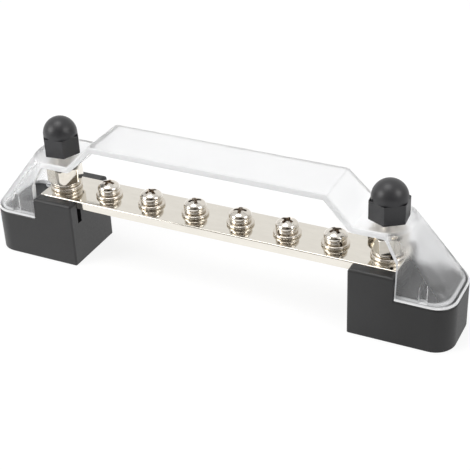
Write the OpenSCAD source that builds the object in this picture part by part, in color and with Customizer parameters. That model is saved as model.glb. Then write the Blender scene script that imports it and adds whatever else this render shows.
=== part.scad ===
// Power distribution block. Two moulded feet carry one plated bar with six screw terminals
// and a stud at each end. A clear cover sits on the feet, held by two dome nuts.
// X runs along the bar, Y to the back and Z up. The origin is on the mounting surface, midway.

/* [Feet] */
// Overall length over both feet
block_len = 150.8; // [150:0.1:152]
// Depth of a foot, front to back
foot_depth = 22; // [22:0.1:23]
// Length of one foot along the bar
foot_len = 30.2; // [30:0.1:30.6]
// Length of the raised block that holds the bar
block_part_len = 13.6; // [13.4:0.1:13.8]
// Height of the walls in front of and behind the bar
wall_top = 21.4; // [21:0.1:21.5]
// Height of the low outer part that carries the cover
ledge_top = 14.4; // [14:0.1:15]
// Radius of the outer upright corners
foot_corner_r = 6.2; // [5.5:0.1:6.6]
// Rounding of the top edges
foot_edge_r = 1; // [0.5:0.1:1.2]
// Rounding of the upright corners that face the middle
foot_inner_r = 0.6; // [0.4:0.1:0.8]
// Width of the narrow pocket behind each wall
pocket_w = 2; // [1.5:0.1:2.4]
// Length of the narrow pocket
pocket_len = 10; // [8:0.5:11]
// Floor of the narrow pocket
pocket_floor = 13.7; // [12:0.1:15]
// Distance from the middle to a mounting hole
mount_x = 68.5; // [68:0.1:69]
// Diameter of a mounting hole
mount_d = 4.4; // [4:0.1:5]
// Roof of the pocket for a stud head
head_seat = 8; // [7:0.1:9]

/* [Bar] */
// Length of the bar
bar_len = 116.6; // [116:0.1:117]
// Width of the bar
bar_w = 14.8; // [14:0.1:14.9]
// Thickness of the bar
bar_t = 2.8; // [2.5:0.1:3]
// Height of the seat under the bar
bar_seat = 18.8; // [18.6:0.1:19]
// Rounding of the long edges of the bar
bar_edge_r = 0.4; // [0.2:0.1:0.6]

/* [Terminals] */
// Number of terminal screws
terminal_count = 6; // [2:1:6]
// Distance between neighbouring screws
terminal_pitch = 15; // [12:0.5:15]
// Thread diameter of a terminal screw
screw_d = 4; // [3:0.5:4]
// Length of a terminal screw under its head
screw_len = 8; // [7:0.5:9]
// Diameter of a screw head
screw_head_d = 6.9; // [6.6:0.1:7.2]
// Height of a screw head
screw_head_h = 2.5; // [2.4:0.1:2.8]
// Outer diameter of a split washer under a screw head
screw_spring_d = 6.6; // [6.4:0.1:7]
// Height of that split washer
screw_spring_t = 1.2; // [1:0.1:1.3]
// Outer diameter of a flat washer on the bar
screw_flat_d = 8.3; // [8:0.1:9]
// Thickness of that flat washer
screw_flat_t = 1; // [0.8:0.1:1.1]

/* [Studs] */
// Distance from the middle to a stud
stud_x = 53.2; // [53:0.1:53.4]
// Thread diameter of a stud
stud_d = 6; // [6:0.1:6.1]
// Length of a stud above its head
stud_len = 35; // [34.5:0.5:35]
// Width across the flats of the stud head and of the stud nut
nut_af = 10; // [10:0.1:10.2]
// Height of a stud head
stud_head_h = 4; // [3.5:0.1:5]
// Height of a stud nut
nut_h = 5; // [4.5:0.1:5.2]
// Outer diameter of a stud's split washer
stud_spring_d = 9.5; // [9:0.1:10]
// Height of that split washer
stud_spring_t = 1.6; // [1.4:0.1:1.8]
// Outer diameter of a stud's flat washer
stud_flat_d = 10; // [10:0.1:10.2]
// Thickness of that flat washer
stud_flat_t = 1.2; // [1:0.1:1.4]
// Turn of the left stud nut about its stud, in degrees
nut_turn_left = 48.4; // [0:0.1:60]
// Turn of the right stud nut about its stud, in degrees
nut_turn_right = 23.2; // [0:0.1:60]

/* [Dome nuts] */
// Width across the flats of a dome nut
cap_af = 10.5; // [10:0.1:10.8]
// Height of the six-sided part of a dome nut
cap_hex_h = 5.8; // [5.5:0.1:6.2]
// Overall height of a dome nut
cap_h = 11.5; // [11.3:0.1:12]
// Depth of the threaded hole in a dome nut
cap_bore_h = 9.4; // [9.2:0.1:9.5]
// Turn of the left dome nut about its stud, in degrees
cap_turn_left = 7; // [0:0.1:60]
// Turn of the right dome nut about its stud, in degrees
cap_turn_right = 35; // [0:0.1:60]

/* [Cover] */
// Thickness of the cover sheet
cover_t = 1.8; // [1.6:0.1:2]
// Height of the roof
roof_z = 42; // [41.5:0.1:43]
// Half length of the flat roof
roof_half = 38; // [36:0.1:38]
// Height of the flat shoulders that the dome nuts stand on
shoulder_z = 34; // [33.8:0.1:34.2]
// Distance from the middle to the outer edge of a shoulder
shoulder_end = 61; // [60.5:0.1:61.2]
// Height of the upright rim under each end slope
end_rim_h = 0.6; // [0.4:0.1:1]
// Corner radius that the ends have at shoulder height
shoulder_corner_r = 8.3; // [7.5:0.1:8.6]
// Half width of the cover at the roof
roof_half_w = 8.6; // [8.4:0.1:9]
// Diameter of a stud hole in the cover
cover_hole_d = 6.6; // [6.4:0.1:7]
// Height at which the upright side of the wire opening ends
cut_knee_z = 25.5; // [24:0.1:27]
// How far the upper corner of the wire opening lies inside the lower one
cut_step = 3.6; // [3:0.1:4.5]
// Distance from the middle to a rib inside the side wall
rib_x = 66.6; // [65:0.1:67]
// Radius of a rib
rib_r = 1.3; // [1:0.1:1.4]
// Height of the rib's point
rib_top = 22; // [20:0.1:22]

/* [Hidden] */
$fn = 64;
end_x = block_len / 2;
half_w = foot_depth / 2;
foot_x = end_x - foot_len;
block_end = foot_x + block_part_len;
seat_half = bar_w / 2 + 0.1;
bar_top = bar_seat + bar_t;
cut = 1;
// Play between a thread and the hole that it turns in
thread_play = 0.07;
// Play between a shank and the washers around it
washer_play = 0.15;
// Play between the upright side of the wire opening and the raised block
cover_play = 0.2;
spring_gap = 0.7;
spring_slant = 20;
recess_d = 4.2;
recess_w = 0.95;
recess_h = 1.6;
head_crown_r = 5.2;
tip_chamfer = 0.4;
nut_chamfer = 0.35;
nut_z = bar_top + stud_flat_t + stud_spring_t;
rib_point_h = 2.4;
sides = [-1, 1];
side_names = ["left", "right"];
cap_turns = [cap_turn_left, cap_turn_right];
nut_turns = [nut_turn_left, nut_turn_right];
spring_turns = [150, -60];
screw_turns = [0, 62, 40, 15, 74, 50];
screw_spring_turns = [120, 75, 200, 150, -113, -40];
numbers = [1:terminal_count];

// Place of a terminal along the bar, counted from the left
function terminal_x(i) = (i - (terminal_count + 1) / 2) * terminal_pitch;

// Rounded rectangle in plan from x0 to x1, with its own corner radius at each end
module plan(x0, x1, half, r0, r1) {
    translate([x0 + r0, -half]) square([x1 - r1 - x0 - r0, 2 * half]);
    translate([x0, r0 - half]) square([x1 - x0 - r1, 2 * (half - r0)]);
    translate([x0 + r0, r1 - half]) square([x1 - x0 - r0, 2 * (half - r1)]);
    for (s = sides) {
        translate([x0 + r0, s * (half - r0)]) circle(r = r0);
        translate([x1 - r1, s * (half - r1)]) circle(r = r1);
    }
}

// Outline from x0 to x1 and from zero up to h, with both top corners rounded
module rounded_top(x0, x1, h, r) {
    translate([x0, 0]) square([x1 - x0, h - r]);
    translate([x0 + r, 0]) square([x1 - x0 - 2 * r, h]);
    for (x = [x0 + r, x1 - r]) translate([x, h - r]) circle(r = r);
}

// Solid with rounded top edges all round and rounded upright corners
module moulding(x0, x1, h, r0, r1) {
    intersection() {
        linear_extrude(height = h) plan(x0, x1, half_w, r0, r1);
        translate([x0 - cut, 0, 0]) rotate([90, 0, 90])
            linear_extrude(height = x1 - x0 + 2 * cut) rounded_top(-half_w, half_w, h, foot_edge_r);
        translate([0, half_w + cut, 0]) rotate([90, 0, 0])
            linear_extrude(height = foot_depth + 2 * cut) rounded_top(x0, x1, h, foot_edge_r);
    }
}

// Foot at the +X end
module foot() {
    color("#3d3d3e") difference() {
        union() {
            moulding(foot_x, end_x, ledge_top, foot_inner_r, foot_corner_r);
            intersection() {
                moulding(foot_x, block_end + 2 * foot_edge_r, wall_top, foot_inner_r, foot_inner_r);
                translate([foot_x - cut, -half_w - cut, 0])
                    cube([block_part_len + cut, foot_depth + 2 * cut, wall_top + cut]);
            }
        }
        translate([foot_x - cut, -seat_half, bar_seat])
            cube([block_part_len + 2 * cut, 2 * seat_half, wall_top]);
        for (s = sides)
            translate([foot_x - cut, s * (seat_half - pocket_w / 2) - pocket_w / 2, pocket_floor])
                cube([pocket_len + cut, pocket_w, wall_top]);
        translate([stud_x, 0, -cut]) cylinder(d = stud_d + 0.4, h = wall_top + 2 * cut);
        translate([stud_x, 0, -cut])
            cylinder(d = (nut_af + 0.3) / cos(30), h = head_seat + cut, $fn = 6);
        translate([mount_x, 0, -cut]) cylinder(d = mount_d, h = ledge_top + 2 * cut);
    }
}

module bus_bar() {
    color("#d8d4cd") difference() {
        translate([-bar_len / 2, 0, bar_seat + bar_t / 2]) rotate([90, 0, 90])
            linear_extrude(height = bar_len) {
                square([bar_w - 2 * bar_edge_r, bar_t], center = true);
                square([bar_w, bar_t - 2 * bar_edge_r], center = true);
                for (sy = sides, sz = sides)
                    translate([sy * (bar_w / 2 - bar_edge_r), sz * (bar_t / 2 - bar_edge_r)])
                        circle(r = bar_edge_r);
            }
        for (i = numbers) translate([terminal_x(i), 0, bar_seat - cut])
            cylinder(r = screw_d / 2 + thread_play, h = bar_t + 2 * cut);
        for (s = sides) translate([s * stud_x, 0, bar_seat - cut])
            cylinder(r = stud_d / 2 + washer_play, h = bar_t + 2 * cut);
    }
}

// Threaded shank from z = 0 up, with a chamfered tip at the chosen end
module shank(d, h, tip_up) {
    translate([0, 0, tip_up ? 0 : tip_chamfer]) cylinder(d = d, h = h - tip_chamfer);
    translate([0, 0, tip_up ? h - tip_chamfer : 0])
        cylinder(d1 = tip_up ? d : d - 2 * tip_chamfer, d2 = tip_up ? d - 2 * tip_chamfer : d,
            h = tip_chamfer);
}

// Six-sided nut blank standing on z = 0, its lower and upper corners turned off
module hex_blank(af, h, lower, upper) {
    ac = af / cos(30);
    intersection() {
        cylinder(d = ac, h = h, $fn = 6);
        union() {
            cylinder(d1 = lower ? ac - 4 * nut_chamfer : ac + 1, d2 = ac + 1, h = h / 2);
            translate([0, 0, h / 2])
                cylinder(d1 = ac + 1, d2 = upper ? ac - 4 * nut_chamfer : ac + 1, h = h / 2);
        }
    }
}

module stud() {
    color("#c9c3b8") {
        translate([0, 0, head_seat - stud_head_h]) cylinder(d = nut_af / cos(30), h = stud_head_h, $fn = 6);
        translate([0, 0, head_seat]) shank(stud_d, stud_len, true);
    }
}

module flat_washer(outer, hole, t) {
    color("#cfcac1") difference() {
        cylinder(d = outer, h = t);
        translate([0, 0, -cut]) cylinder(d = hole, h = t + 2 * cut);
    }
}

// Split ring with a slanted gap on its +X side
module spring_washer(outer, hole, t) {
    color("#c8c1b6") difference() {
        cylinder(d = outer, h = t);
        translate([0, 0, -cut]) cylinder(d = hole, h = t + 2 * cut);
        translate([hole / 4, 0, t / 2]) rotate([spring_slant, 0, 0])
            translate([0, -spring_gap / 2, -t]) cube([outer, spring_gap, 2 * t]);
    }
}

module stud_nut() {
    color("#cdc0a6") difference() {
        hex_blank(nut_af, nut_h, true, true);
        translate([0, 0, -cut]) cylinder(r = stud_d / 2 + thread_play, h = nut_h + 2 * cut);
    }
}

// Dome nut standing on z = 0
module cap_nut() {
    dome_r = cap_af / 2;
    dome_z = cap_h - dome_r;
    color("#3a3a3c") difference() {
        union() {
            hex_blank(cap_af, cap_hex_h, false, true);
            cylinder(r = dome_r, h = dome_z);
            intersection() {
                translate([0, 0, dome_z]) sphere(r = dome_r);
                translate([0, 0, dome_z]) cylinder(r = dome_r + cut, h = dome_r + cut);
            }
        }
        translate([0, 0, -cut]) cylinder(r = stud_d / 2 + thread_play, h = cap_bore_h + cut);
    }
}

// Pan head screw with a cross recess. Its head stands on z = 0 and its shank hangs below
module terminal_screw() {
    color("#cfc9bf") difference() {
        union() {
            intersection() {
                cylinder(d = screw_head_d, h = screw_head_h);
                translate([0, 0, screw_head_h - head_crown_r]) sphere(r = head_crown_r);
            }
            translate([0, 0, -screw_len]) shank(screw_d, screw_len, false);
        }
        intersection() {
            translate([0, 0, screw_head_h - recess_h])
                cylinder(d1 = 1.6, d2 = recess_d + 0.2, h = recess_h + 0.1);
            for (a = [0, 90]) rotate([0, 0, a])
                translate([-recess_d, -recess_w / 2, 0]) cube([2 * recess_d, recess_w, screw_head_h + cut]);
        }
    }
}

// Side outline of the cover, moved inwards by t, its foot lowered by drop
module cover_outline(t, drop) {
    k = t * tan(22.5);
    fall = (shoulder_z - ledge_top - end_rim_h) / (end_x - shoulder_end);
    right = [
        [end_x - t, ledge_top - drop],
        [end_x - t, ledge_top + end_rim_h - t * (sqrt(1 + fall * fall) - fall)],
        [shoulder_end - t * tan(atan(fall) / 2), shoulder_z - t],
        [roof_half + roof_z - shoulder_z - k, shoulder_z - t],
        [roof_half - k, roof_z - t]
    ];
    left = [for (i = [len(right) - 1:-1:0]) [-right[i][0], right[i][1]]];
    polygon(concat(right, left));
}

// Slanted cut across two opposite end corners, moved inwards by t
module corner_limit(turn, t) {
    wide = (half_w - roof_half_w) / (roof_z - ledge_top);
    trim = (2 - sqrt(2)) / sqrt(2);
    low = (end_x + half_w) / sqrt(2) - trim * foot_corner_r;
    high = (shoulder_end + half_w - wide * (shoulder_z - ledge_top)) / sqrt(2) - trim * shoulder_corner_r;
    fall = (low - high) / (shoulder_z - ledge_top);
    inset = t * sqrt(1 + fall * fall);
    reach = 2 * cut;
    rotate([0, 0, turn]) translate([0, end_x, 0]) rotate([90, 0, 0]) linear_extrude(height = 2 * end_x)
        polygon([[inset - low - fall * reach, ledge_top - reach], [low + fall * reach - inset, ledge_top - reach],
            [high - fall * (roof_z + reach - shoulder_z) - inset, roof_z + reach],
            [inset - high + fall * (roof_z + reach - shoulder_z), roof_z + reach]]);
}

// Cover solid moved inwards by t, its foot lowered by drop
module cover_form(t, drop) {
    slope = (half_w - roof_half_w) / (roof_z - ledge_top);
    low_w = half_w - t + drop * slope;
    high_w = roof_half_w - t - cut * slope;
    intersection() {
        translate([0, half_w + cut, 0]) rotate([90, 0, 0])
            linear_extrude(height = foot_depth + 2 * cut) cover_outline(t, drop);
        translate([-end_x - cut, 0, 0]) rotate([90, 0, 90]) linear_extrude(height = block_len + 2 * cut)
            polygon([[-low_w, ledge_top - drop], [low_w, ledge_top - drop],
                [high_w, roof_z + cut], [-high_w, roof_z + cut]]);
        linear_extrude(height = roof_z + cut)
            plan(t - end_x, end_x - t, half_w - t, foot_corner_r - t, foot_corner_r - t);
        corner_limit(45, t);
        corner_limit(-45, t);
    }
}

// Opening in both long sides, under the sheet and between the two closed ends
module wire_opening() {
    k = cover_t * tan(22.5);
    low_x = block_end + cover_play;
    right = [
        [low_x, ledge_top - cut],
        [low_x, cut_knee_z],
        [low_x - cut_step, shoulder_z - cover_t],
        [roof_half + roof_z - shoulder_z - k, shoulder_z - cover_t],
        [roof_half - k, roof_z - cover_t]
    ];
    left = [for (i = [len(right) - 1:-1:0]) [-right[i][0], right[i][1]]];
    translate([0, half_w + cut, 0]) rotate([90, 0, 0])
        linear_extrude(height = foot_depth + 2 * cut) polygon(concat(right, left));
}

module cover() {
    color("#eef2f6", 0.35) {
        difference() {
            cover_form(0, 0);
            cover_form(cover_t, cut);
            wire_opening();
            for (s = sides) translate([s * stud_x, 0, shoulder_z - 2 * cover_t])
                cylinder(d = cover_hole_d, h = 4 * cover_t);
        }
        intersection() {
            cover_form(0, 0);
            for (sx = sides, sy = sides) translate([sx * rib_x, sy * (half_w - cover_t), ledge_top]) {
                cylinder(r = rib_r, h = rib_top - rib_point_h - ledge_top);
                translate([0, 0, rib_top - rib_point_h - ledge_top])
                    cylinder(r1 = rib_r, r2 = 0.2, h = rib_point_h);
            }
        }
    }
}

mirror([1, 0, 0]) foot();  // base_left
foot();  // base_right
bus_bar();
cover();
for (i = [0, 1]) translate([sides[i] * stud_x, 0, 0]) {
    stud();
    translate([0, 0, bar_top]) flat_washer(stud_flat_d, stud_d + 2 * washer_play, stud_flat_t);
    translate([0, 0, bar_top + stud_flat_t]) rotate([0, 0, spring_turns[i]])
            spring_washer(stud_spring_d, stud_d + 2 * washer_play, stud_spring_t);
    translate([0, 0, nut_z]) rotate([0, 0, nut_turns[i]]) stud_nut();
    translate([0, 0, shoulder_z]) rotate([0, 0, cap_turns[i]]) cap_nut();
}
for (i = numbers) translate([terminal_x(i), 0, bar_top]) {
    flat_washer(screw_flat_d, screw_d + 2 * washer_play, screw_flat_t);
    translate([0, 0, screw_flat_t]) rotate([0, 0, screw_spring_turns[i - 1]])
            spring_washer(screw_spring_d, screw_d + 2 * washer_play, screw_spring_t);
    translate([0, 0, screw_flat_t + screw_spring_t]) rotate([0, 0, screw_turns[i - 1]])
            terminal_screw();
}
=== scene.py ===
import bpy
import bmesh
import math
from mathutils import Vector, Matrix


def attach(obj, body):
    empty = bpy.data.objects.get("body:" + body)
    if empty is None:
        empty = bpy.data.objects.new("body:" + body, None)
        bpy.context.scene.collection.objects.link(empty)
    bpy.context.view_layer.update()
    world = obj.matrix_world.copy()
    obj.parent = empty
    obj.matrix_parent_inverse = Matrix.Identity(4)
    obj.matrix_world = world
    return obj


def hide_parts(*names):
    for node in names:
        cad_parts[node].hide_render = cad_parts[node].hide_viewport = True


# power distribution block: plated bar on two feet, six screw terminals, clear cover
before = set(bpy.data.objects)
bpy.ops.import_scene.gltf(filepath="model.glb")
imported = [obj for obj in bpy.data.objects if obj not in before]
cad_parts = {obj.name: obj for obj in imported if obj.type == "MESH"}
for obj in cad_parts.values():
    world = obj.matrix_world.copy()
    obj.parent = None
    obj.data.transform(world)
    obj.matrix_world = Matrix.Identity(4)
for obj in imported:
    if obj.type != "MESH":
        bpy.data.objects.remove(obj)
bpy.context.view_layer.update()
mm = 0.001
weldGap = 0.0005 * mm
fullTurn = 2 * math.pi

block = dict(length=150.8, depth=22.0, ledge=14.4, wallTop=21.4, footLength=30.2, blockLength=13.6,
             cornerRadius=6.2, innerRadius=0.6, edgeRadius=1.0, barSeat=18.8, barTop=21.6,
             studX=53.2, pitch=15.0, mountX=68.5)
endX = block["length"] / 2
halfDepth = block["depth"] / 2
footX = endX - block["footLength"]
blockEnd = footX + block["blockLength"]
screwCount = 6
screwX = [(i - (screwCount - 1) / 2) * block["pitch"] for i in range(screwCount)]
sides = {"left": -1, "right": 1}


# small mesh tools, all in millimetres
def makeMesh(name, points, faces):
    mesh = bpy.data.meshes.new(name)
    mesh.from_pydata([tuple(c * mm for c in p) for p in points], [], faces)
    work = bmesh.new()
    work.from_mesh(mesh)
    bmesh.ops.remove_doubles(work, verts=work.verts, dist=weldGap)
    bmesh.ops.recalc_face_normals(work, faces=work.faces)
    work.to_mesh(mesh)
    work.free()
    piece = bpy.data.objects.new(name, mesh)
    bpy.context.scene.collection.objects.link(piece)
    return piece


def stackRings(name, rings, capLow=True, capHigh=True):
    # skin over rings that have the same number of points
    count = len(rings[0])
    points = [p for ring in rings for p in ring]
    faces = []
    for r in range(len(rings) - 1):
        for i in range(count):
            j = (i + 1) % count
            faces.append((r * count + i, r * count + j, (r + 1) * count + j, (r + 1) * count + i))
    if capLow:
        faces.append(tuple(range(count)))
    if capHigh:
        faces.append(tuple((len(rings) - 1) * count + i for i in range(count)))
    return makeMesh(name, points, faces)


def circle(radius, z, steps, radiusAt=None):
    ring = []
    for i in range(steps):
        a = fullTurn * i / steps
        r = radiusAt(a) if radiusAt else radius
        ring.append((r * math.cos(a), r * math.sin(a), z))
    return ring


def lathe(name, profile, steps):
    return stackRings(name, [circle(r, z, steps) for r, z in profile])


def closedRing(name, rings):
    return stackRings(name, rings + [rings[0]], False, False)


def roundPath(path, radii, steps=5):
    # rounds the inner corners of an open path of 2d points
    out = [path[0]]
    for k in range(1, len(path) - 1):
        p, a, b = Vector(path[k]), Vector(path[k - 1]), Vector(path[k + 1])
        u, v = (a - p).normalized(), (b - p).normalized()
        half = math.acos(max(-1, min(1, u.dot(v)))) / 2
        r = radii[k - 1]
        reach = r / math.tan(half)
        centre = p + (u + v).normalized() * (r / math.sin(half))
        start, finish = p + u * reach - centre, p + v * reach - centre
        a0 = math.atan2(start.y, start.x)
        turn = (math.atan2(finish.y, finish.x) - a0 + math.pi) % fullTurn - math.pi
        for s in range(steps + 1):
            angle = a0 + turn * s / steps
            out.append((centre.x + r * math.cos(angle), centre.y + r * math.sin(angle)))
    out.append(path[-1])
    return out


def prismXZ(name, outline, y0, y1):
    low = [(x, y0, z) for x, z in outline]
    high = [(x, y1, z) for x, z in outline]
    return stackRings(name, [low, high])


def boxPiece(name, low, high):
    (x0, y0, z0), (x1, y1, z1) = low, high
    ring = [(x0, y0), (x1, y0), (x1, y1), (x0, y1)]
    return stackRings(name, [[(x, y, z) for x, y in ring] for z in (z0, z1)])


def moved(piece, x=0.0, y=0.0, z=0.0, turn=0.0):
    spin = Matrix.Rotation(math.radians(turn), 4, "Z")
    piece.data.transform(Matrix.Translation((x * mm, y * mm, z * mm)) @ spin)
    return piece


def applyModifiers(piece):
    graph = bpy.context.evaluated_depsgraph_get()
    mesh = bpy.data.meshes.new_from_object(piece.evaluated_get(graph))
    piece.modifiers.clear()
    old, piece.data = piece.data, mesh
    mesh.name = piece.name
    bpy.data.meshes.remove(old)


def combine(piece, tools, operation="DIFFERENCE"):
    for tool in tools:
        change = piece.modifiers.new("combine", "BOOLEAN")
        change.operation, change.solver, change.object = operation, "EXACT", tool
    applyModifiers(piece)
    for tool in tools:
        bpy.data.objects.remove(tool)
    return piece


def softEdges(piece, width, angle, segments):
    edge = piece.modifiers.new("edges", "BEVEL")
    edge.width, edge.segments, edge.limit_method = width * mm, segments, "ANGLE"
    edge.angle_limit = math.radians(angle)
    applyModifiers(piece)
    return piece


def shade(piece, sharp):
    for face in piece.data.polygons:
        face.use_smooth = True
    piece.data.set_sharp_from_angle(angle=math.radians(sharp))
    normals = piece.modifiers.new("normals", "WEIGHTED_NORMAL")
    normals.keep_sharp, normals.weight = True, 60


def copyPiece(piece, name):
    twin = bpy.data.objects.new(name, piece.data.copy())
    twin.data.name = name
    bpy.context.scene.collection.objects.link(twin)
    return twin


def mirrorX(piece):
    piece.data.transform(Matrix.Scale(-1, 4, (1, 0, 0)))
    piece.data.flip_normals()
    return piece


def place(piece, node, body, materials, sharp=32):
    # finishes a piece; its faces keep their index into the list of materials
    shade(piece, sharp)
    last = len(materials) - 1
    indices = [min(face.material_index, last) for face in piece.data.polygons]
    piece.data.materials.clear()
    for material in materials:
        piece.data.materials.append(material)
    for face, index in zip(piece.data.polygons, indices):
        face.material_index = index
    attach(piece, body)
    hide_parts(node)


# materials, all from noise and the place on the piece
def newMaterial(name):
    material = bpy.data.materials.new(name)
    material.use_nodes = True
    nodes, links = material.node_tree.nodes, material.node_tree.links
    shader = nodes["Principled BSDF"]
    return material, nodes, links, shader


def addNoise(nodes, links, scale, detail, rough=0.6, stretch=(1, 1, 1)):
    where = nodes.new("ShaderNodeTexCoord")
    mapping = nodes.new("ShaderNodeMapping")
    mapping.inputs["Scale"].default_value = stretch
    noise = nodes.new("ShaderNodeTexNoise")
    noise.inputs["Scale"].default_value = scale
    noise.inputs["Detail"].default_value = detail
    noise.inputs["Roughness"].default_value = rough
    links.new(where.outputs["Object"], mapping.inputs["Vector"])
    links.new(mapping.outputs["Vector"], noise.inputs["Vector"])
    return noise.outputs["Fac"]


def addRamp(nodes, links, fac, low, high):
    ramp = nodes.new("ShaderNodeValToRGB")
    for stop, spot, color in zip(ramp.color_ramp.elements, (0.35, 0.65), (low, high)):
        stop.position, stop.color = spot, (*color, 1)
    links.new(fac, ramp.inputs["Fac"])
    return ramp.outputs["Color"]


def mapRange(nodes, links, value, source, result, smooth=False):
    step = nodes.new("ShaderNodeMapRange")
    if smooth:
        step.interpolation_type = "SMOOTHSTEP"
    step.inputs["From Min"].default_value, step.inputs["From Max"].default_value = source
    step.inputs["To Min"].default_value, step.inputs["To Max"].default_value = result
    links.new(value, step.inputs["Value"])
    return step.outputs["Result"]


def addRange(nodes, links, fac, low, high):
    return mapRange(nodes, links, fac, (0.3, 0.7), (low, high))


def mixTones(nodes, links, fac, blend="MIX"):
    # colour mix; its two colours are set or linked by the caller
    mix = nodes.new("ShaderNodeMix")
    mix.data_type, mix.blend_type = "RGBA", blend
    links.new(fac, mix.inputs["Factor"])
    return mix


def splitAxes(nodes, links, vector):
    split = nodes.new("ShaderNodeSeparateXYZ")
    links.new(vector, split.inputs[0])
    return split.outputs


def addBump(nodes, links, shader, fac, distance, strength):
    bump = nodes.new("ShaderNodeBump")
    bump.inputs["Strength"].default_value = strength
    bump.inputs["Distance"].default_value = distance
    links.new(fac, bump.inputs["Height"])
    links.new(bump.outputs["Normal"], shader.inputs["Normal"])


def combineMath(nodes, links, operation, first, second=None):
    step = nodes.new("ShaderNodeMath")
    step.operation = operation
    links.new(first, step.inputs[0])
    if second is not None:
        links.new(second, step.inputs[1])
    return step.outputs[0]


def sizeOf(nodes, links, value):
    return combineMath(nodes, links, "ABSOLUTE", value)


def rayShare(nodes, links, names):
    # one where the ray that meets the surface is of one of these kinds
    path = nodes.new("ShaderNodeLightPath")
    share = path.outputs[names[0]]
    for name in names[1:]:
        share = combineMath(nodes, links, "MAXIMUM", share, path.outputs[name])
    return share


def plasticMaterial(name, dark, light, rough, grain):
    material, nodes, links, shader = newMaterial(name)
    broad = addNoise(nodes, links, 60, 2)
    fine = addNoise(nodes, links, grain, 4)
    links.new(addRamp(nodes, links, broad, dark, light), shader.inputs["Base Color"])
    links.new(addRange(nodes, links, fine, *rough), shader.inputs["Roughness"])
    addBump(nodes, links, shader, fine, 0.02 * mm, 0.25)
    return material


def metalMaterial(name, dark, light, rough, stretch=(1, 1, 1), scale=300):
    material, nodes, links, shader = newMaterial(name)
    shader.inputs["Metallic"].default_value = 1.0
    broad = addNoise(nodes, links, scale, 3, 0.6, stretch)
    fine = addNoise(nodes, links, scale * 6, 4, 0.7, stretch)
    links.new(addRamp(nodes, links, broad, dark, light), shader.inputs["Base Color"])
    links.new(addRange(nodes, links, fine, *rough), shader.inputs["Roughness"])
    addBump(nodes, links, shader, fine, 0.01 * mm, 0.1)
    return material


def stepDown(nodes, links, value, level, width):
    # one below the level and zero above it, for a negative width the other way round
    low, high = sorted((level - width / 2, level + width / 2))
    return mapRange(nodes, links, value, (low, high), (1, 0) if width > 0 else (0, 1), True)


coverLook = dict(low=(0.955, 0.958, 0.963), high=(0.97, 0.973, 0.977), roofPaintedShade=(0.922, 0.922, 0.922, 1),
                 clear=(0.87, 0.94), paintedVeilSpan=(-0.075, 0.075), edgeClear=0.18, topRough=0.34, wallRough=0.15,
                 wallFacing=(0.6, 0.95), ior=1.22, shadowTint=(0.95, 0.953, 0.957, 1))
# where the look of the cover changes: level and softness, in mm or, for the two normals, as their size
coverZones = dict(rim=(15.3, 0.5), cutInside=(60.0, 0.2), cutNormal=(0.8, -0.1), edgeAbove=(31.0, -0.5),
                  edgeNormal=(0.35, -0.3), edgeInside=(56.0, 2.0), roofAbove=(35.5, -1.5), roofRight=(-40.0, -5.0))


def clearMaterial(name):
    c = coverLook
    material, nodes, links, shader = newMaterial(name)

    def zone(value, key, unit=mm):
        level, width = coverZones[key]
        return stepDown(nodes, links, value, level * unit, width * unit)

    def both(first, second):
        return combineMath(nodes, links, "MULTIPLY", first, second)

    where = nodes.new("ShaderNodeTexCoord")
    normal = splitAxes(nodes, links, where.outputs["Normal"])
    spot = splitAxes(nodes, links, where.outputs["Object"])
    acrossNormal, alongNormal = sizeOf(nodes, links, normal["Y"]), sizeOf(nodes, links, normal["X"])
    fromMiddle = sizeOf(nodes, links, spot["X"])

    # rough on top and on the slopes, smoother on the upright walls
    rough = mapRange(nodes, links, acrossNormal, c["wallFacing"], (c["topRough"], c["wallRough"]))
    fine = addRange(nodes, links, addNoise(nodes, links, 400, 4), 0.88, 1.12)
    links.new(both(rough, fine), shader.inputs["Roughness"])
    shader.inputs["IOR"].default_value = c["ior"]

    # whitish, less clear rim, cut faces and long upper edges: partly a matte finish, partly a painted glow of light
    # that the sheet carries to its edges
    cutFace = both(zone(fromMiddle, "cutInside"), zone(alongNormal, "cutNormal", 1))
    longEdge = both(zone(spot["Z"], "edgeAbove"), zone(acrossNormal, "edgeNormal", 1))
    longEdge = both(longEdge, zone(fromMiddle, "edgeInside"))
    frostAndEdgeGlow = combineMath(nodes, links, "MAXIMUM", zone(spot["Z"], "rim"), cutFace)
    frostAndEdgeGlow = combineMath(nodes, links, "MAXIMUM", frostAndEdgeGlow, longEdge)
    # painted veil: the cover is less clear and whiter towards its left end, standing in for light scattered in the
    # sheet
    along = mapRange(nodes, links, spot["X"], c["paintedVeilSpan"], c["clear"])
    clear = mapRange(nodes, links, frostAndEdgeGlow, (0, 1), (0, c["edgeClear"]))
    links.new(along, clear.node.inputs["To Min"])
    links.new(clear, shader.inputs["Transmission Weight"])

    # painted shade: the cover's colour is darkened on the roof and its slopes, apart from the left end
    shadedTone = mixTones(nodes, links, both(zone(spot["Z"], "roofAbove"), zone(spot["X"], "roofRight")), "MULTIPLY")
    shadedTone.inputs["B"].default_value = c["roofPaintedShade"]
    links.new(addRamp(nodes, links, addNoise(nodes, links, 40, 2), c["low"], c["high"]), shadedTone.inputs["A"])
    links.new(shadedTone.outputs["Result"], shader.inputs["Base Color"])
    addBump(nodes, links, shader, addNoise(nodes, links, 90, 2), 0.03 * mm, 0.15)

    # light passes straight through to what is under the cover
    through = nodes.new("ShaderNodeBsdfTransparent")
    through.inputs["Color"].default_value = c["shadowTint"]
    mix = nodes.new("ShaderNodeMixShader")
    links.new(rayShare(nodes, links, ("Is Shadow Ray", "Is Diffuse Ray")), mix.inputs["Fac"])
    links.new(shader.outputs[0], mix.inputs[1])
    links.new(through.outputs[0], mix.inputs[2])
    links.new(mix.outputs[0], nodes["Material Output"].inputs["Surface"])
    return material


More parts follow.
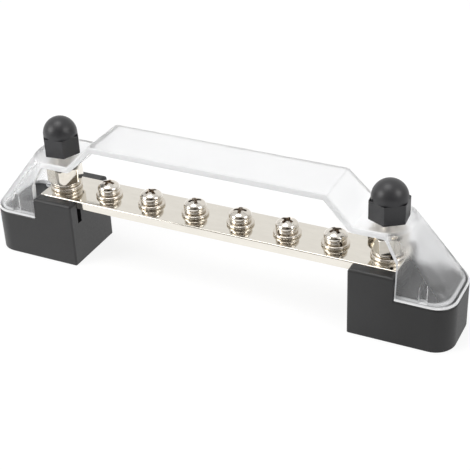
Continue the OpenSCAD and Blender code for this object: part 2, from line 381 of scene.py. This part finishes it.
footPlastic = plasticMaterial("footPlastic", dark=(0.016, 0.016, 0.0165), light=(0.020, 0.020, 0.021),
                              rough=(0.38, 0.48), grain=1500)
capPlastic = plasticMaterial("capPlastic", dark=(0.023, 0.023, 0.025), light=(0.029, 0.029, 0.032),
                             rough=(0.36, 0.44), grain=1200)
barPlate = metalMaterial("barPlate", dark=(0.715, 0.685, 0.625), light=(0.745, 0.715, 0.655),
                         rough=(0.06, 0.12), stretch=(0.3, 1, 1), scale=500)
screwPlate = metalMaterial("screwPlate", dark=(0.66, 0.62, 0.56), light=(0.74, 0.705, 0.65), rough=(0.05, 0.09))
# painted shade: the cross recess gets a darker, browner plating than the rest of the head
recessPaintedShade = metalMaterial("recessPaintedShade", dark=(0.30, 0.255, 0.21), light=(0.46, 0.40, 0.34), rough=(0.22, 0.36))
washerPlate = metalMaterial("washerPlate", dark=(0.62, 0.575, 0.51), light=(0.71, 0.665, 0.60), rough=(0.17, 0.26))
nutPlate = metalMaterial("nutPlate", dark=(0.64, 0.60, 0.53), light=(0.73, 0.695, 0.63), rough=(0.05, 0.09))
clearPlastic = clearMaterial("clearPlastic")
print("materials made")


# feet
def slabRing(x0, x1, half, r0, r1, inset, z):
    # plan outline with corner radii r0 at x0 and r1 at x1
    corners = [(x1, -half, r1, -90), (x1, half, r1, 0), (x0, half, r0, 90), (x0, -half, r0, 180)]
    ring = []
    for cx, cy, r, start in corners:
        turned = max(r - inset, 0.05)
        mx = cx + (turned + inset) * (-1 if cx == x1 else 1)
        my = cy + (turned + inset) * (1 if cy < 0 else -1)
        for k in range(11):
            a = math.radians(start + 9 * k)
            ring.append((mx + turned * math.cos(a), my + turned * math.sin(a), z))
    return ring


def roundedSlab(name, x0, x1, half, h, r0, r1, edge):
    # small slant at the bottom, rounded edge at the top
    rings = [slabRing(x0, x1, half, r0, r1, 0.25, 0), slabRing(x0, x1, half, r0, r1, 0, 0.25)]
    for k in range(7):
        a = math.radians(15 * k)
        rings.append(slabRing(x0, x1, half, r0, r1, edge * (1 - math.cos(a)), h - edge + edge * math.sin(a)))
    return stackRings(name, rings)


footShape = dict(seatHalf=7.5, pocketWidth=2.0, pocketLength=10.0, pocketFloor=13.7, headPocket=8.0,
                 headAcross=10.3, studHole=3.2, mountHole=2.2, stepRadius=0.35, edge=0.22)


def makeFoot(name):
    s = footShape
    inner, edge = block["innerRadius"], block["edgeRadius"]
    foot = roundedSlab(name, footX, endX, halfDepth, block["ledge"], inner, block["cornerRadius"], edge)
    raised = roundedSlab("raised", footX, blockEnd, halfDepth, block["wallTop"], inner, s["stepRadius"], edge)
    combine(foot, [raised], "UNION")

    # the cutting pieces reach past the faces that they open
    tools = [boxPiece("seat", (footX - 2, -s["seatHalf"], block["barSeat"]), (blockEnd + 2, s["seatHalf"], 30))]
    for sy in (-1, 1):
        y0, y1 = sorted((sy * (s["seatHalf"] - s["pocketWidth"]), sy * (s["seatHalf"] - 0.01)))
        tools.append(boxPiece("pocket", (footX - 2, y0, s["pocketFloor"]), (footX + s["pocketLength"], y1, 25)))
    head = stackRings("head", [circle(s["headAcross"] / math.sqrt(3), z, 6) for z in (-1, s["headPocket"])])
    tools.append(moved(head, block["studX"]))
    tools.append(moved(lathe("studHole", [(s["studHole"], 5), (s["studHole"], 30)], 48), block["studX"]))
    tools.append(moved(lathe("mountHole", [(s["mountHole"], -1), (s["mountHole"], 30)], 48), block["mountX"]))
    combine(foot, tools)
    return softEdges(foot, s["edge"], 50, 2)


for side, sx in sides.items():
    foot = makeFoot("foot_" + side)
    if sx < 0:
        mirrorX(foot)
    place(foot, "base_" + side, "base", [footPlastic], 40)
print("feet made")


# bar
barShape = dict(length=116.6, width=14.8, edge=0.4, screwHole=2.07, studHole=3.15)


def makeBar():
    s = barShape
    bar = boxPiece("bus_bar_plate", (-s["length"] / 2, -s["width"] / 2, block["barSeat"]),
                   (s["length"] / 2, s["width"] / 2, block["barTop"]))
    softEdges(bar, s["edge"], 30, 4)
    tools = []
    studs = [(sx * block["studX"], s["studHole"]) for sx in sides.values()]
    for x, r in [(x, s["screwHole"]) for x in screwX] + studs:
        tools.append(moved(lathe("barHole", [(r, 10), (r, 30)], 48), x))
    return combine(bar, tools)


place(makeBar(), "bus_bar", "base", [barPlate], 40)
print("bar made")


# threads, nuts, washers and screws
fineSteps = 96
screwSteps = 72
threadForm = dict(rowsPerTurn=6, slope=1.35, crest=0.18)


def threadRings(radius, pitch, z0, z1, steps, depth, taper):
    # one right-handed helical groove, tapered off at both ends
    rows = int(round((z1 - z0) / pitch * threadForm["rowsPerTurn"]))
    rings = []
    for k in range(rows + 1):
        z = z0 + (z1 - z0) * k / rows
        ring = []
        for i in range(steps):
            a = fullTurn * i / steps
            phase = (z / pitch - i / steps) % 1.0
            groove = (1 - abs(2 * phase - 1)) * threadForm["slope"] - threadForm["crest"]
            cut = min(1.0, max(0.0, groove))
            end = max(0.0, taper - (z - z0), taper - (z1 - z))
            r = radius - max(depth * cut, end)
            ring.append((r * math.cos(a), r * math.sin(a), z))
        rings.append(ring)
    return rings


def hexRadius(apothem, corner):
    # radius of a hexagon with slightly rounded corners, flats at 30, 90, ...
    def at(a):
        local = (a + math.pi / 6) % (math.pi / 3) - math.pi / 6
        full = apothem / math.cos(math.pi / 6 - abs(local))
        return min(full, corner)
    return at


studShape = dict(radius=3.0, pitch=1.0, foot=8.0, top=43.0, depth=0.52, taper=0.45,
                 headAcross=10.0, headCorner=5.7, headHeight=4.0)


def makeStud(name):
    s = studShape
    head = hexRadius(s["headAcross"] / 2, s["headCorner"])
    rings = [circle(0, z, fineSteps, head) for z in (s["foot"] - s["headHeight"], s["foot"])]
    rings += threadRings(s["radius"], s["pitch"], s["foot"], s["top"], fineSteps, s["depth"], s["taper"])
    return stackRings(name, rings)


nutShape = dict(across=10.0, height=5.0, bore=3.07, boreEdge=0.3, faceInset=0.12, cornerInset=0.06, slope=0.5)


def makeNut(name):
    # hexagon whose corners are turned off at both ends, corners at 0, 60, ...
    s = nutShape
    faceRadius = s["across"] / 2 - s["faceInset"]
    radiusAt = hexRadius(s["across"] / 2, s["across"] / math.sqrt(3) - s["cornerInset"])
    rings = [circle(faceRadius, 0, fineSteps)]
    for z, way in ((0, 1), (s["height"], -1)):
        ring = []
        for x, y, level in circle(0, z, fineSteps, radiusAt):
            drop = max(0.02, (math.hypot(x, y) - faceRadius) * s["slope"])
            ring.append((x, y, level + way * drop))
        rings.append(ring)
    rings.append(circle(faceRadius, s["height"], fineSteps))
    wide, edge = s["bore"] + s["boreEdge"], s["boreEdge"]
    for r, z in ((wide, s["height"]), (s["bore"], s["height"] - edge), (s["bore"], edge), (wide, 0)):
        rings.append(circle(r, z, fineSteps))
    return closedRing(name, rings)


holeEdge = 0.15
splitLean = 0.36


def ringProfile(outer, hole, t, edge):
    # section of a flat ring whose outer edges are rounded
    profile = [(hole, holeEdge), (hole, t - holeEdge), (hole + holeEdge, t)]
    for k in range(6):
        a = math.radians(18 * k)
        profile.append((outer - edge + edge * math.sin(a), t - edge + edge * math.cos(a)))
    for k in range(6):
        a = math.radians(90 + 18 * k)
        profile.append((outer - edge + edge * math.sin(a), edge + edge * math.cos(a)))
    return profile + [(hole + holeEdge, 0)]


def makeFlatWasher(name, outer, hole, t, edge):
    return closedRing(name, [circle(r, z, fineSteps) for r, z in ringProfile(outer, hole, t, edge)])


def makeSpringWasher(name, outer, hole, t, edge, gap):
    # split ring, its two ends cut at a slant
    profile = ringProfile(outer, hole, t, edge)
    middle = (outer + hole) / 2
    lean, opening = splitLean / middle, gap / middle
    rings = []
    for k in range(fineSteps + 1):
        a = opening / 2 + (fullTurn - opening) * k / fineSteps
        ring = []
        for r, z in profile:
            b = a + (t / 2 - z) * lean
            ring.append((r * math.cos(b), r * math.sin(b), z))
        rings.append(ring)
    return stackRings(name, rings)


screwShape = dict(headRadius=3.45, headHeight=2.5, crown=5.2, crownEnd=2.35, sideTop=0.55, radius=2.0, pitch=0.7,
                  length=8.0, depth=0.36, taper=0.35)
# half length and half width of the cross recess and its depth below the top, from the mouth to the floor
recessLevels = ((2.4, 0.55, -0.3), (2.03, 0.5, 0.25), (0.75, 0.34, 1.9))
recessBridge = 0.28


def crownHeight(r):
    # height of the domed top at the radius r
    s = screwShape
    return s["headHeight"] - s["crown"] + math.sqrt(s["crown"] ** 2 - r * r)


def headProfile():
    # section of the pan head, from the middle of its top to its underside
    s = screwShape
    profile = [(0.02, s["headHeight"])]
    for k in range(1, 9):
        r = s["crownEnd"] * k / 8
        profile.append((r, crownHeight(r)))
    lean = math.asin(s["crownEnd"] / s["crown"])
    reach = (s["headRadius"] - s["crownEnd"]) / (1 - math.sin(lean))
    drop = (profile[-1][1] - s["sideTop"]) / math.cos(lean)
    for k in range(1, 10):
        a = lean + (math.pi / 2 - lean) * k / 9
        profile.append((s["headRadius"] - reach + reach * math.sin(a), s["sideTop"] + drop * math.cos(a)))
    return profile + [(s["headRadius"], 0.3), (s["headRadius"] - 0.09, 0.12), (s["headRadius"] - 0.3, 0.0)]


def crossRing(half, width, z):
    # one level of the recess, a cross with filled inner corners
    ring = []
    inner = min(width + recessBridge, half)
    for q in range(4):
        a = math.radians(90 * q)
        for x, y in ((half, -width), (half, width), (inner, width), (width, inner)):
            ring.append((x * math.cos(a) - y * math.sin(a), x * math.sin(a) + y * math.cos(a), z))
    return ring


def makeScrew(name):
    s = screwShape
    rings = [circle(r, z, screwSteps) for r, z in headProfile()]
    rings += threadRings(s["radius"], s["pitch"], -s["length"], 0.0, screwSteps, s["depth"], s["taper"])[::-1]
    screw = stackRings(name, rings)
    cross = [crossRing(half, width, s["headHeight"] - down) for half, width, down in recessLevels]
    combine(screw, [stackRings("cross", cross)])

    # faces that lie below the domed top are the recess and get the darker material, painted shade in the recess
    for face in screw.data.polygons:
        x, y, z = (c / mm for c in face.center)
        r = math.hypot(x, y)
        sunk = r < recessLevels[0][0] and crownHeight(r) - z > 0.03 and z > 0.4
        face.material_index = 1 if sunk else 0
    return screw


capShape = dict(across=10.5, hexTop=5.8, height=11.46, domeRadius=5.24, ditch=0.5, bore=3.07, boreHeight=9.4,
                mouthWiden=0.35, mouthDepth=0.4, edge=0.12, edgeBlend=0.2, cornerInset=0.06)


def makeCap(name):
    # hexagon with a dome on it, a shallow ditch between them and a bore from below
    s = capShape
    r, edge = s["domeRadius"], s["edge"]
    corner = s["across"] / math.sqrt(3)
    radiusAt = hexRadius(s["across"] / 2, corner - s["cornerInset"])

    def topRadius(a):
        return radiusAt(a) - edge * min(1, (radiusAt(a) - r) / s["edgeBlend"])

    outside = [circle(0, z, fineSteps, radiusAt) for z in (0, s["hexTop"] - edge)]
    outside.append(circle(0, s["hexTop"], fineSteps, topRadius))
    ditch = []
    for x, y, z in circle(r, s["hexTop"], fineSteps):
        depth = s["ditch"] * (radiusAt(math.atan2(y, x)) - r) / (corner - r)
        ditch.append((x, y, z - depth))
    outside += [ditch, circle(r, s["hexTop"] + 0.02, fineSteps)]
    for k in range(15):
        a = math.radians(6 * k)
        outside.append(circle(r * math.cos(a), s["height"] - r + r * math.sin(a), fineSteps))
    outside.append(circle(0.01, s["height"], fineSteps))
    bore, deep = s["bore"], s["boreHeight"]
    mouth = [(bore, s["mouthDepth"]), (bore + s["mouthWiden"], 0)]
    inside = [circle(r, z, fineSteps) for r, z in [(0.01, deep), (bore, deep)] + mouth]
    cap = stackRings(name, outside, False, True)
    bottom = stackRings("bottom", inside + [outside[0]], True, False)
    mesh = bmesh.new()
    mesh.from_mesh(cap.data)
    mesh.from_mesh(bottom.data)
    bmesh.ops.remove_doubles(mesh, verts=mesh.verts, dist=2 * weldGap)
    bmesh.ops.recalc_face_normals(mesh, faces=mesh.faces)
    mesh.to_mesh(cap.data)
    mesh.free()
    bpy.data.objects.remove(bottom)
    return cap


nutTurns = dict(left=48.4, right=23.2)
capTurns = dict(left=7.0, right=35.0)
studSpringTurns = dict(left=150, right=-60)
studFlat = dict(outer=5.0, hole=3.15, t=1.2, edge=0.48)
studSpring = dict(outer=4.75, hole=3.15, t=1.6, edge=0.6, gap=0.8)
studLevels = dict(flat=21.6, spring=22.8, nut=24.4, cap=34.02)
for side, sx in sides.items():
    x = sx * block["studX"]
    washers = "stud_washers_" + side
    place(moved(makeStud("stud_thread_" + side), x), "stud_" + side, "base", [screwPlate])
    flat = moved(makeFlatWasher("stud_washer_" + side, **studFlat), x, 0, studLevels["flat"])
    place(flat, "stud_flat_washer_" + side, washers, [washerPlate])
    spring = makeSpringWasher("stud_lock_washer_" + side, **studSpring)
    place(moved(spring, x, 0, studLevels["spring"], studSpringTurns[side]), "stud_spring_washer_" + side, washers,
          [washerPlate])
    nut = moved(makeNut("stud_hex_nut_" + side), x, 0, studLevels["nut"], nutTurns[side])
    place(nut, "stud_nut_" + side, "stud_nut_" + side, [nutPlate])
    cap = moved(makeCap("dome_nut_" + side), x, 0, studLevels["cap"], capTurns[side])
    place(cap, "cap_nut_" + side, "cap_" + side, [capPlastic])

screwTurns = [0, 62, 40, 15, 74, 50]
screwSpringTurns = [120, 75, 200, 150, -113, -40]
screwFlat = dict(outer=4.15, hole=2.15, t=1.0, edge=0.42)
screwSpring = dict(outer=3.3, hole=2.15, t=1.2, edge=0.52, gap=0.55)
screwLevels = dict(flat=21.6, spring=22.6, head=23.8)
screwMaster = makeScrew("screwMaster")
for i, x in enumerate(screwX):
    n = str(i + 1)
    washers = "terminal_washers_" + n
    flat = moved(makeFlatWasher("screw_washer_" + n, **screwFlat), x, 0, screwLevels["flat"])
    place(flat, "screw_flat_washer_" + n, washers, [washerPlate])
    spring = makeSpringWasher("screw_lock_washer_" + n, **screwSpring)
    place(moved(spring, x, 0, screwLevels["spring"], screwSpringTurns[i]), "screw_spring_washer_" + n, washers,
          [washerPlate])
    screw = moved(copyPiece(screwMaster, "pan_screw_" + n), x, 0, screwLevels["head"], screwTurns[i])
    place(screw, "terminal_screw_" + n, "terminal_screw_" + n, [screwPlate, recessPaintedShade])
bpy.data.objects.remove(screwMaster)
print("fasteners made")


# clear cover
coverShape = dict(thickness=1.8, roofZ=42.0, roofHalf=38.0, slopeRun=8.0, shoulderZ=34.0, shoulderEnd=61.0,
                  roofHalfWidth=8.6, rim=0.6, topRadius=8.5, edge=0.7, innerEdge=0.3, hole=3.3,
                  cutX=59.0, cutKnee=25.5, cutTopX=55.2, cutRadii=(1.2, 1.6))
# corner radii of the side outline, from the roof to the rim; the inside adds or takes off up to 0.9
outlineRadii = dict(roof=1.1, valley=0.6, shoulder=1.3, rim=0.9, change=0.9)


def coverPath(t):
    # half of the side outline, from the middle of the roof to the end, moved inwards by t
    s = coverShape
    slope = t * math.tan(math.radians(22.5))
    rimZ = block["ledge"] + s["rim"]
    fall = (s["shoulderZ"] - rimZ) / (endX - s["shoulderEnd"])
    roofZ, shoulderZ = s["roofZ"] - t, s["shoulderZ"] - t
    path = [(0, roofZ), (s["roofHalf"] - slope, roofZ), (s["roofHalf"] + s["slopeRun"] - slope, shoulderZ),
            (s["shoulderEnd"] - t * math.tan(math.atan(fall) / 2), shoulderZ),
            (endX - t, rimZ - t * (math.sqrt(1 + fall * fall) - fall)), (endX - t, block["ledge"] - 1.5)]
    r = outlineRadii
    inward = min(t, r["change"])
    return roundPath(path, [r["roof"] - inward, r["valley"] + inward, r["shoulder"] - inward, r["rim"] - inward / 2])


def heightAt(path, x):
    # height of the side outline at x
    for (x0, z0), (x1, z1) in zip(path, path[1:]):
        if x0 <= x <= x1 and x1 > x0:
            return z0 + (z1 - z0) * (x - x0) / (x1 - x0)
    return path[-2][1]


def endAt(path, z):
    # how far the end reaches at the height z
    for (x1, z1), (x0, z0) in zip(path[::-1], path[-2::-1]):
        if z1 <= z <= z0 + 0.001 and z0 > z1:
            return x0 + (x1 - x0) * (z0 - z) / (z0 - z1)
    return path[-1][0]


def halfAt(path, x, z, t):
    # half width at x and z: the sides lean in, and the corner radius grows with the height
    s = coverShape
    up = z - block["ledge"]
    lean = (halfDepth - s["roofHalfWidth"]) / (s["roofZ"] - block["ledge"])
    grow = max(0.0, up) / (s["shoulderZ"] - block["ledge"])
    radius = block["cornerRadius"] + (s["topRadius"] - block["cornerRadius"]) * grow - t
    past = max(0.0, x - endAt(path, z) + radius) if z < s["shoulderZ"] - t + 0.001 else 0.0
    return halfDepth - t - up * lean - radius + math.sqrt(max(0.0, radius ** 2 - past ** 2))


def coverSection(x, path, t, foot):
    # half widths and heights of the section at x, from the foot over the top to the other foot
    s = coverShape
    top = heightAt(path, x)
    r = min(s["innerEdge"] if t else s["edge"], (top - foot) * 0.5)
    side = []
    for k in range(12):
        z = top - r - (top - r - foot) * (1 - k / 12) ** 2
        side.append((halfAt(path, x, z, t), z))
    for k in range(9):
        a = math.radians(11.25 * k)
        z = top - r + r * math.sin(a)
        side.append((halfAt(path, x, z, t) - r + r * math.cos(a), z))
    flat = side[-1][0]
    side += [(flat * 0.66, top), (flat * 0.33, top)]
    return [(-y, z) for y, z in side] + [(0, top)] + side[::-1]


def coverSolid(name, t, foot):
    # cross-sections along the whole cover, closer together where its ends turn
    path = coverPath(t)
    radius = block["cornerRadius"] - t
    straight = endX - block["cornerRadius"]
    wanted = [p[0] for p in path] + [12.0, 25.0, 50.0] + [52.0 + k for k in range(18)]
    wanted += [straight + radius * math.sin(math.radians(7.5 * k)) for k in range(1, 12)]
    spots = [0.0]
    for x in sorted(wanted):
        if x - spots[-1] > 0.03 and endX - t - x > 0.03:
            spots.append(x)
    spots.append(endX - t)
    sections = []
    for x in [-x for x in reversed(spots[1:])] + spots:
        sections.append([(x, y, z) for y, z in coverSection(abs(x), path, t, foot)])
    return stackRings(name, sections)


def wireOpening():
    # the cut-out side, an outline just under the roof that follows it to the legs
    s = coverShape
    start = s["cutTopX"] - 3
    right = [p for p in coverPath(s["thickness"] - 0.03) if p[0] < start]
    z = right[-1][1]
    leg = [(start, z), (s["cutTopX"], z), (s["cutX"], s["cutKnee"]), (s["cutX"], 10.0)]
    right += roundPath(leg, s["cutRadii"], 6)
    return [(-x, z) for x, z in reversed(right) if x > 0] + right


ribShape = dict(x=66.6, radius=1.3, top=22.0)
# levels below the top of a rib and its radius there, for the rounded upper end
ribLevels = ((2.4, 1.3), (1.1, 0.975), (0.0, 0.15))


def makeRib(x, sy):
    s = ribShape
    rings = [circle(s["radius"], block["ledge"] + 0.02, 32)]
    rings += [circle(r, s["top"] - down, 32) for down, r in ribLevels]
    return moved(stackRings("rib", rings), x, sy * (halfDepth - coverShape["thickness"] - 0.05))


def makeCover(name):
    s = coverShape
    cover = coverSolid(name, 0.0, block["ledge"])
    combine(cover, [coverSolid("hollow", s["thickness"], block["ledge"] - 1)])
    tools = [prismXZ("wires", wireOpening(), -15, 15)]
    for sx in (-1, 1):
        tools.append(moved(lathe("hole", [(s["hole"], 30), (s["hole"], 36)], 64), sx * block["studX"]))
    combine(cover, tools)
    ribs = [makeRib(sx * ribShape["x"], sy) for sx in (-1, 1) for sy in (-1, 1)]
    return combine(cover, ribs, "UNION")


cover = makeCover("clear_cover")
place(cover, "cover", "cover", [clearPlastic], 30)
print("cover made", len(cover.data.polygons), "faces")


# floor, light and camera
floorLook = dict(size=3.0, bounce=0.84, seenBounce=0.2, seenGlow=0.85, glossGlow=(0.17, -0.22),
                 glossEdge=(0.028, 0.062))


def makeFloor():
    s = floorLook
    bpy.ops.mesh.primitive_plane_add(size=s["size"], location=(0, 0, 0))
    floor = bpy.context.active_object
    floor.name = "studioFloor"
    material, nodes, links, shader = newMaterial("paleFloor")
    shader.inputs["Roughness"].default_value = 0.8
    shader.inputs["Specular IOR Level"].default_value = 0.1
    seen = rayShare(nodes, links, ("Is Camera Ray", "Is Glossy Ray", "Is Transmission Ray"))
    tone = mixTones(nodes, links, seen)
    tone.inputs["A"].default_value = (s["bounce"],) * 3 + (1,)
    tone.inputs["B"].default_value = (s["seenBounce"],) * 3 + (1,)
    links.new(tone.outputs["Result"], shader.inputs["Base Color"])
    # reflections see a brighter floor to the left and a darker one to the right
    where = nodes.new("ShaderNodeTexCoord")
    along = splitAxes(nodes, links, where.outputs["Object"])
    fade = mapRange(nodes, links, along["X"], s["glossEdge"], s["glossGlow"], True)
    glow = combineMath(nodes, links, "MULTIPLY", seen)
    glow.node.inputs[1].default_value = s["seenGlow"]
    more = combineMath(nodes, links, "MULTIPLY_ADD", rayShare(nodes, links, ("Is Glossy Ray",)), fade)
    links.new(glow, more.node.inputs[2])
    shader.inputs["Emission Color"].default_value = (1, 1, 1, 1)
    links.new(more, shader.inputs["Emission Strength"])
    floor.data.materials.append(material)


worldLook = dict(soft=0.35, bright=(-0.40, 0.75, 0.53),
                 tones=[(0.0, (0.17, 0.155, 0.135)), (0.38, (0.24, 0.215, 0.19)), (0.60, (0.66, 0.64, 0.60)),
                        (0.80, (1.0, 0.995, 0.985))],
                 lens=(0.405, -0.754, 0.515), lensEdge=(0.93, 0.985), lensTone=(0.02, 0.018, 0.016))


def nearness(nodes, links, vector, direction):
    # one along the direction, minus one against it
    step = nodes.new("ShaderNodeVectorMath")
    step.operation = "DOT_PRODUCT"
    step.inputs[1].default_value = direction
    links.new(vector, step.inputs[0])
    return step.outputs["Value"]


def makeWorld():
    s = worldLook
    world = bpy.data.worlds.new("studio")
    bpy.context.scene.world = world
    world.use_nodes = True
    nodes, links = world.node_tree.nodes, world.node_tree.links
    seen = nodes["Background"]
    seen.inputs["Color"].default_value = (1, 1, 1, 1)
    soft, gloss = nodes.new("ShaderNodeBackground"), nodes.new("ShaderNodeBackground")
    soft.inputs["Strength"].default_value = s["soft"]
    where = nodes.new("ShaderNodeTexCoord").outputs["Generated"]

    # what the shiny parts mirror: a bright side, a dark side and the dark lens
    spread = mapRange(nodes, links, nearness(nodes, links, where, s["bright"]), (-1, 1), (0, 1))
    band = nodes.new("ShaderNodeValToRGB")
    stops = band.color_ramp.elements
    for k, (spot, color) in enumerate(s["tones"]):
        stop = stops[k] if k < 2 else stops.new(spot)
        stop.position, stop.color = spot, (*color, 1)
    links.new(spread, band.inputs["Fac"])
    lens = mapRange(nodes, links, nearness(nodes, links, where, s["lens"]), s["lensEdge"], (0, 1), True)
    tone = mixTones(nodes, links, lens)
    tone.inputs["B"].default_value = (*s["lensTone"], 1)
    links.new(band.outputs["Color"], tone.inputs["A"])
    links.new(tone.outputs["Result"], gloss.inputs["Color"])

    first, second = nodes.new("ShaderNodeMixShader"), nodes.new("ShaderNodeMixShader")
    links.new(rayShare(nodes, links, ("Is Glossy Ray",)), first.inputs["Fac"])
    links.new(soft.outputs[0], first.inputs[1])
    links.new(gloss.outputs[0], first.inputs[2])
    links.new(rayShare(nodes, links, ("Is Camera Ray", "Is Transmission Ray")), second.inputs["Fac"])
    links.new(first.outputs[0], second.inputs[1])
    links.new(seen.outputs[0], second.inputs[2])
    links.new(second.outputs[0], nodes["World Output"].inputs["Surface"])


lightRig = dict(distance=0.9, target=(0, 0, 0.02))
lamps = dict(leftLight=dict(toward=(-0.646, -0.597, 0.472), size=0.46, power=3.2),
             rightLight=dict(toward=(0.824, -0.081, 0.560), size=0.46, power=2.4),
             topLight=dict(toward=(-0.164, -0.089, 0.983), size=0.50, power=2.6))


def areaLight(name, toward, size, power):
    lamp = bpy.data.lights.new(name, "AREA")
    lamp.shape, lamp.size, lamp.energy = "DISK", size, power
    holder = bpy.data.objects.new(name, lamp)
    holder.location = Vector(toward) * lightRig["distance"]
    ahead = Vector(lightRig["target"]) - holder.location
    holder.rotation_euler = ahead.to_track_quat("-Z", "Y").to_euler()
    bpy.context.scene.collection.objects.link(holder)


def makeCamera():
    shot = dict(spot=(142.4, -265.2, 197.8), target=(5.45, 0.0, 17.0), roll=-2.59, lens=89.96)
    lens = bpy.data.cameras.new("shot")
    lens.lens, lens.sensor_width, lens.sensor_fit = shot["lens"], 36.0, "HORIZONTAL"
    lens.clip_start, lens.clip_end = 0.01, 20
    camera = bpy.data.objects.new("shot", lens)
    spot, target = Vector(shot["spot"]) * mm, Vector(shot["target"]) * mm
    ahead = (target - spot).normalized()
    right = ahead.cross(Vector((0, 0, 1))).normalized()
    up = right.cross(ahead)
    a = math.radians(shot["roll"])
    tilted = right * math.cos(a) + up * math.sin(a)
    upright = up * math.cos(a) - right * math.sin(a)
    turn = Matrix((tilted, upright, -ahead)).transposed().to_4x4()
    camera.matrix_world = Matrix.Translation(spot) @ turn
    bpy.context.scene.collection.objects.link(camera)
    bpy.context.scene.camera = camera


bpy.context.scene.view_settings.view_transform = "Standard"
bpy.context.scene.cycles.max_bounces = bpy.context.scene.cycles.transmission_bounces = 24
bpy.context.scene.cycles.glossy_bounces = 16
makeFloor()
makeWorld()
for name, lamp in lamps.items():
    areaLight(name, **lamp)
makeCamera()
print("studio made")
